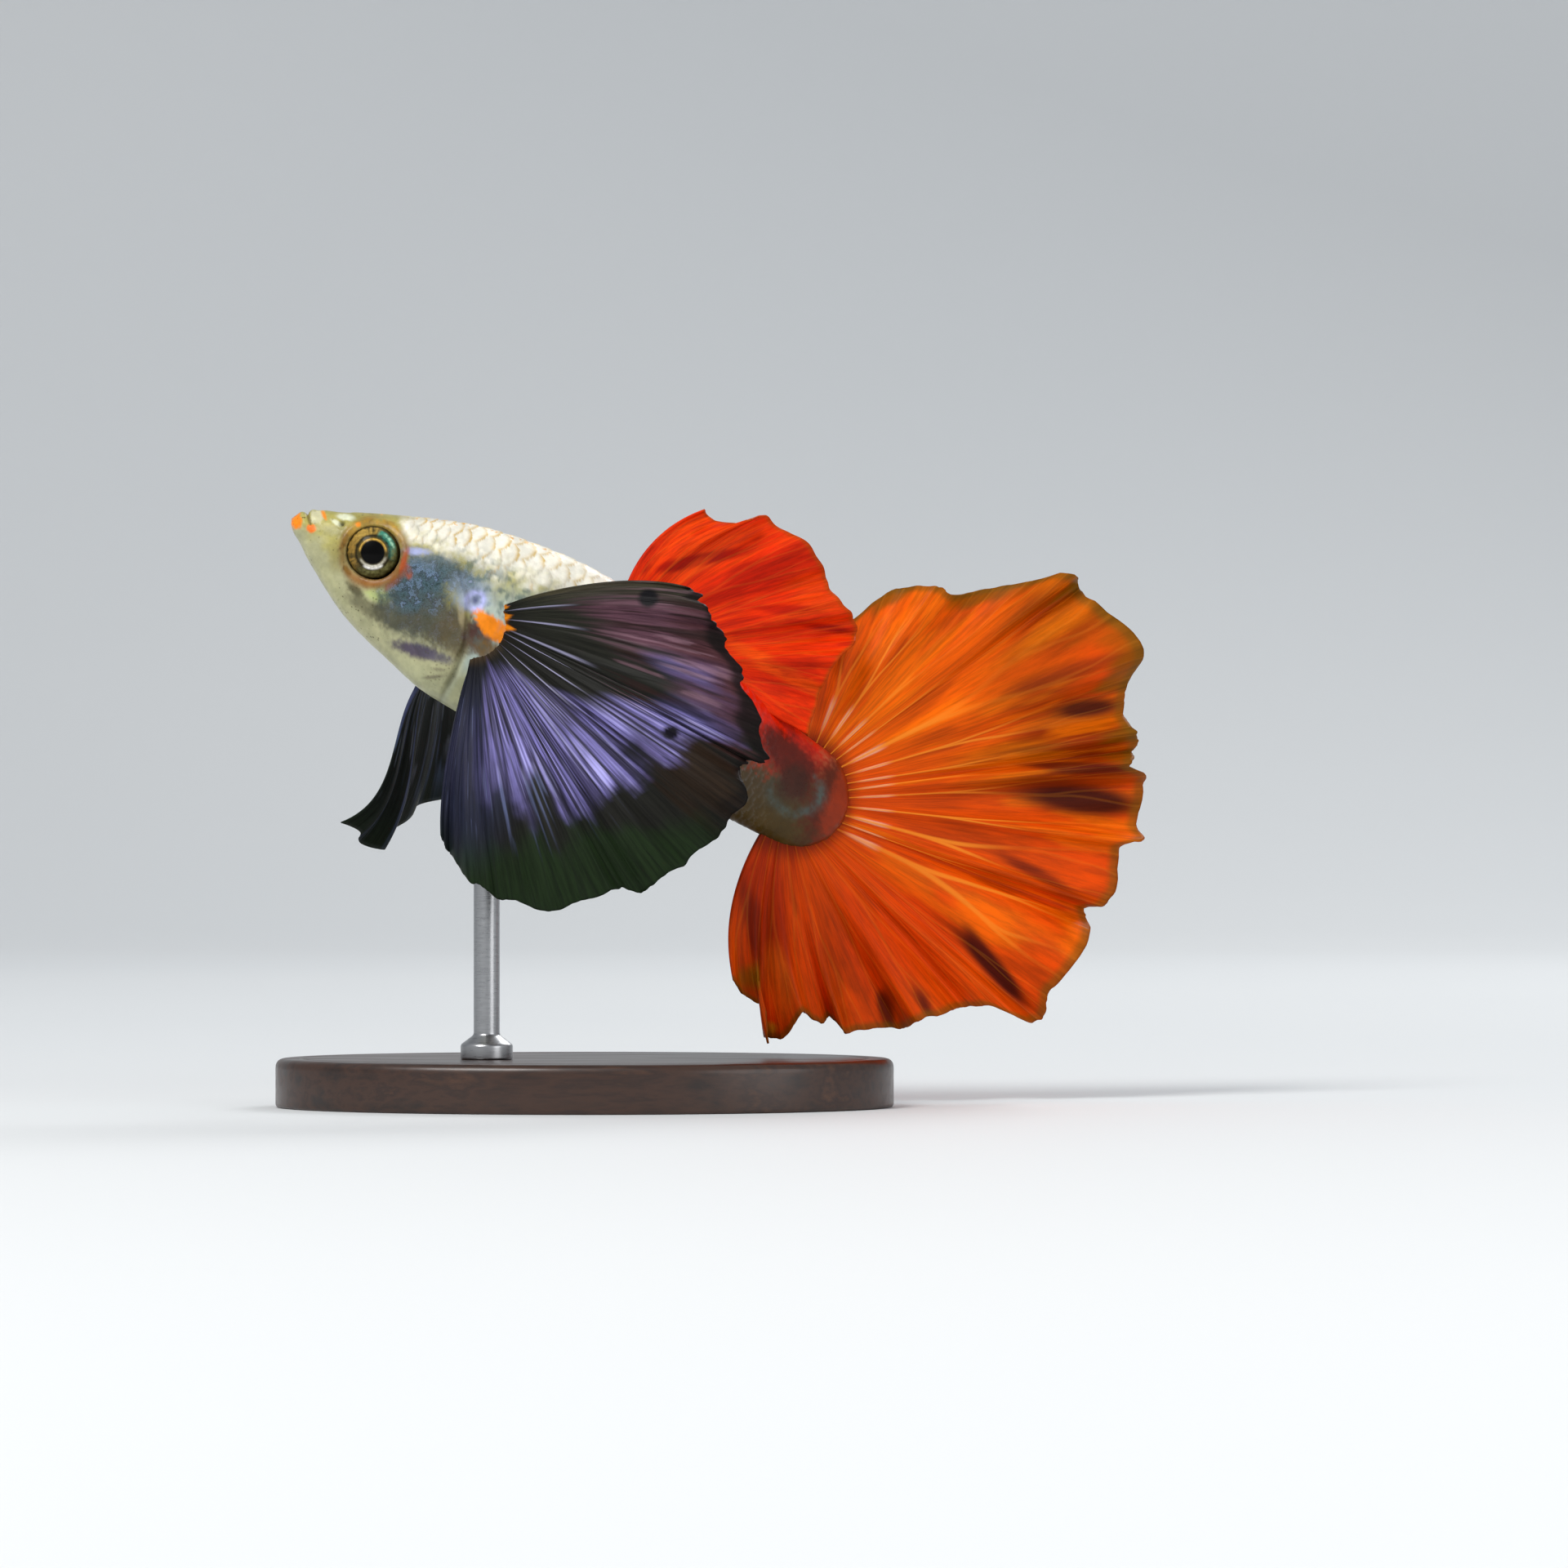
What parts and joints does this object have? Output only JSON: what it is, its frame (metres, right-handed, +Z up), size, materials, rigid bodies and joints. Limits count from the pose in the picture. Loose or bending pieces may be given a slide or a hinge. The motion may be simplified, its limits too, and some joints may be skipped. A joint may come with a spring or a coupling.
{
  "type": "guppy",
  "caption": "Life-size male fancy guppy with wide pectoral fins and a fan-shaped tail, swimming, on a small display stand.",
  "frame": {"origin": "centre of the flat underside of the stand's base", "axes": "+Z up out of the base, +X from the head to the tail, +Y to the fish's right"},
  "size_m": [0.0539, 0.0291, 0.0369],
  "materials": {
    "skin": "wet scaled skin, pale yellow-green head, orange-netted back",
    "eye": "glossy black pupil in a dark iris with a silver and gold ring",
    "dark_fin": "thin membrane, black with a lavender-blue sheen",
    "bright_fin": "thin membrane, orange with yellow rays and dark red folds",
    "clear_fin": "thin amber membrane",
    "steel": "satin",
    "base": "dark stained, satin"
  },
  "bodies": {
    "root": {"head": "skin", "trunk": "skin", "tail_root": "skin", "eye_left": "eye", "eye_right": "eye", "pectoral_fin_left": "dark_fin", "pectoral_fin_right": "dark_fin", "dorsal_fin": "bright_fin", "caudal_fin": "bright_fin", "pelvic_fin_left": "clear_fin", "pelvic_fin_right": "clear_fin", "gonopodium": "clear_fin", "stand_rod": "steel", "stand_base": "base"}
  },
  "joints": []
}
